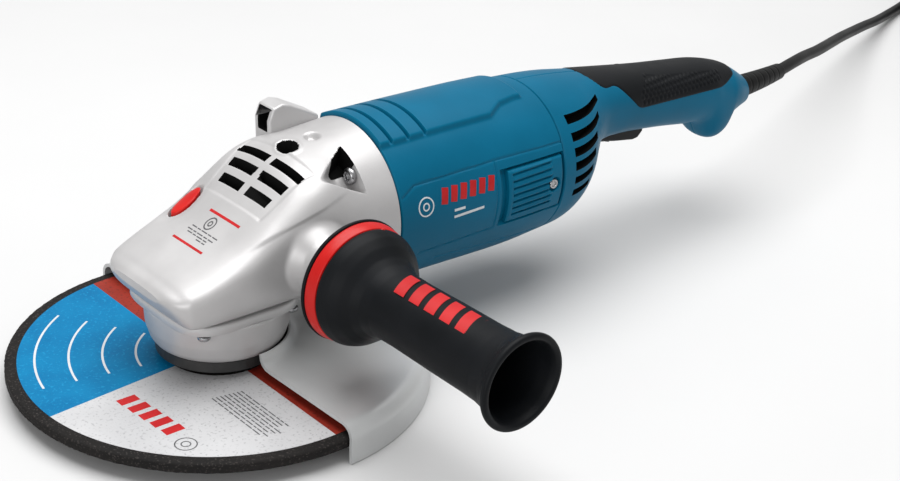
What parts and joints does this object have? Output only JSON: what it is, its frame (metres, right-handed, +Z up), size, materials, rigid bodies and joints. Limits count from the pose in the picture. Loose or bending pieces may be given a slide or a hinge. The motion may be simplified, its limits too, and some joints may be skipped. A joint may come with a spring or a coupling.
{
  "type": "angle grinder",
  "caption": "Large two-handed angle grinder with a grinding wheel under a half guard, a side handle, a rear trigger handle and a mains cord.",
  "frame": {"origin": "centre of the spindle's lower end face", "axes": "+Z up along the spindle, +X from the spindle towards the rear handle, the side handle points along -Y"},
  "size_m": [1.1959, 0.4254, 0.1387],
  "materials": {
    "cast_alloy": "satin light-silver die-cast alloy",
    "sheet_steel": "light silver-grey painted sheet",
    "teal_plastic": "satin teal-blue moulded plastic",
    "black_plastic": "satin black moulded plastic",
    "soft_black": "matt black soft-touch over-moulding",
    "red_plastic": "bright red elastomer and plastic",
    "steel": "bright machined steel",
    "black_steel": "black oxide steel",
    "abrasive": "resin-bonded abrasive with a printed paper label",
    "copper": "varnished copper wire",
    "carbon": "pressed carbon",
    "bronze": "sintered bronze",
    "rubber": "black rubber"
  },
  "bodies": {
    "tool_body": {"bearing_bracket": "cast_alloy", "bearing_cover": "cast_alloy", "bearing_cover_screw_1": "steel", "bearing_cover_screw_2": "steel", "bearing_cover_screw_3": "steel", "bearing_cover_screw_4": "steel", "brush_cover_left": "teal_plastic", "brush_cover_right": "teal_plastic", "brush_cover_screw_left": "steel", "brush_cover_screw_right": "steel", "brush_holder_left": "black_plastic", "brush_holder_right": "black_plastic", "carbon_brush_left": "carbon", "carbon_brush_right": "carbon", "cord": "rubber", "cord_coil": "rubber", "dust_seal": "rubber", "field_coil_left": "copper", "field_coil_right": "copper", "front_bearing": "steel", "gear_housing": "cast_alloy", "handle_shell_left": "teal_plastic", "handle_shell_right": "teal_plastic", "housing_screw_1": "steel", "housing_screw_2": "steel", "housing_screw_3": "steel", "housing_screw_4": "steel", "motor_housing": "teal_plastic", "needle_bush": "bronze", "plug": "rubber", "rear_bearing": "steel", "side_handle_damper": "red_plastic", "side_handle_grip": "soft_black", "side_handle_stud": "steel", "soft_grip": "soft_black", "spindle_bearing": "steel", "stator_core": "steel", "strain_relief": "rubber", "switch_module": "black_plastic", "trigger_pin": "steel"},
    "spindle_group": {"spindle": "steel", "crown_gear": "steel", "inner_flange": "black_steel", "grinding_disc": "abrasive", "clamping_nut": "black_steel"},
    "armature_group": {"armature_shaft": "steel", "pinion": "steel", "armature_core": "steel", "armature_winding": "copper", "commutator": "copper", "cooling_fan": "black_plastic"},
    "guard_group": {"guard_hood": "sheet_steel", "guard_clamp_band": "black_steel", "guard_clamp_screw": "steel"},
    "lock_button_group": {"spindle_lock_button": "red_plastic", "spindle_lock_pin": "steel", "spindle_lock_spring": "steel"},
    "trigger_paddle": {"trigger": "black_plastic"},
    "lock_off_slider": {"trigger_lock": "black_plastic"},
    "plunger_group": {"switch_plunger": "black_plastic"}
  },
  "joints": [
    {"name": "spindle_spin", "type": "hinge", "parent": "tool_body", "child": "spindle_group", "pos_m": [0, 0, 0], "axis": [0, 0, 1], "continuous": true},
    {"name": "armature_spin", "type": "hinge", "parent": "tool_body", "child": "armature_group", "pos_m": [0, 0, 0.0807], "axis": [1, 0, 0], "continuous": true},
    {"name": "guard_turn", "type": "hinge", "parent": "tool_body", "child": "guard_group", "pos_m": [0, 0, 0], "axis": [0, 0, 1], "range_deg": [-60, 90]},
    {"name": "spindle_lock", "type": "slide", "parent": "tool_body", "child": "lock_button_group", "axis": [0, 0, -1], "range_m": [0, 0.006], "stiffness_N_per_m": 800, "deforming": ["spindle_lock_spring"]},
    {"name": "trigger_pull", "type": "hinge", "parent": "tool_body", "child": "trigger_paddle", "pos_m": [0.2835, 0, 0.0845], "axis": [0, -1, 0], "range_deg": [0, 4.5], "stiffness_Nm_per_rad": 3, "springref_deg": -2.86},
    {"name": "lock_off_slide", "type": "slide", "parent": "trigger_paddle", "child": "lock_off_slider", "axis": [0.9849, 0, -0.173], "range_m": [0, 0.004], "stiffness_N_per_m": 300},
    {"name": "switch_press", "type": "slide", "parent": "tool_body", "child": "plunger_group", "axis": [0, 0, 1], "range_m": [0, 0.0022]}
  ],
  "couplings": [
    {"joint": "armature_spin", "follows": "spindle_spin", "ratio": 4},
    {"joint": "switch_press", "follows": "trigger_pull", "m_per_rad": 0.0255}
  ]
}
